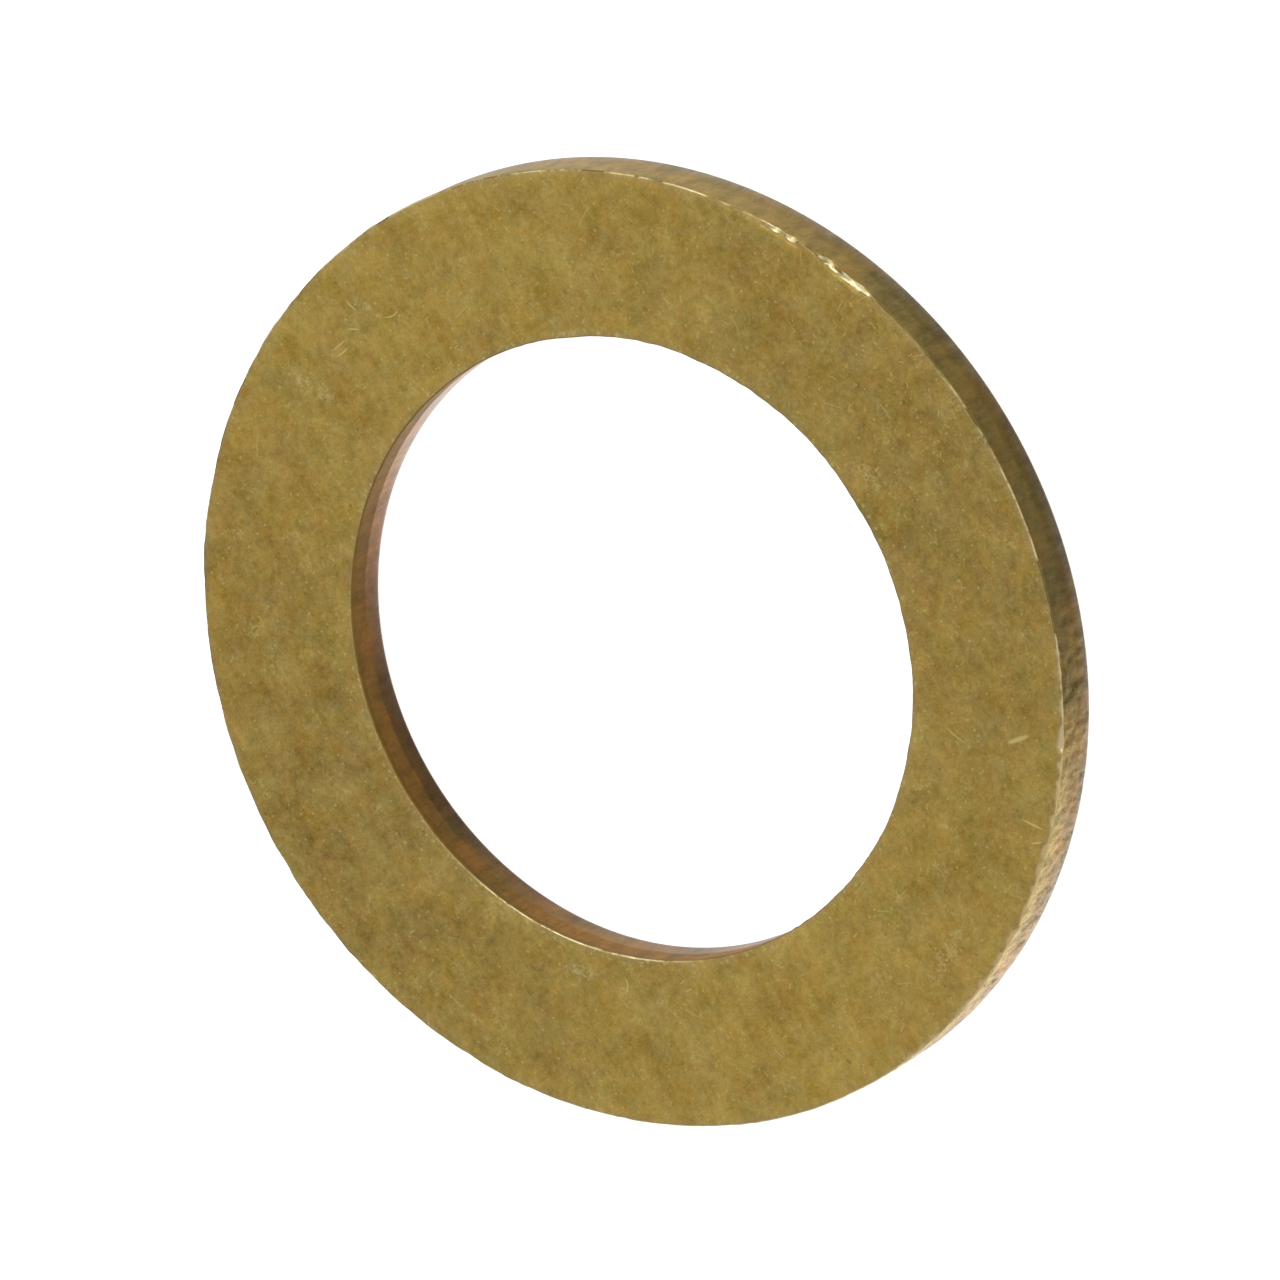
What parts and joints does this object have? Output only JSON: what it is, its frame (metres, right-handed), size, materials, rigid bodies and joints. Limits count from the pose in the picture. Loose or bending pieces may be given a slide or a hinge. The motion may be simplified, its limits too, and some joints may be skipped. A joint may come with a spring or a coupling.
{
  "type": "flat washer",
  "caption": "Flat brass ring washer: its plain round bore passes a bolt, and its two flat faces spread the load of the head or nut.",
  "frame": {"origin": "centre of the bore at the underside, the face with the die-rounded edges", "axes": "+Z along the bore from the underside to the top face, the face towards the viewer; X and Y lie across the ring and are interchangeable"},
  "size_m": [0.026, 0.026, 0.0016],
  "materials": {
    "brass": "satin, lightly tarnished and finely scratched faces with brighter edges"
  },
  "bodies": {
    "root": {"washer": "brass"}
  },
  "joints": []
}
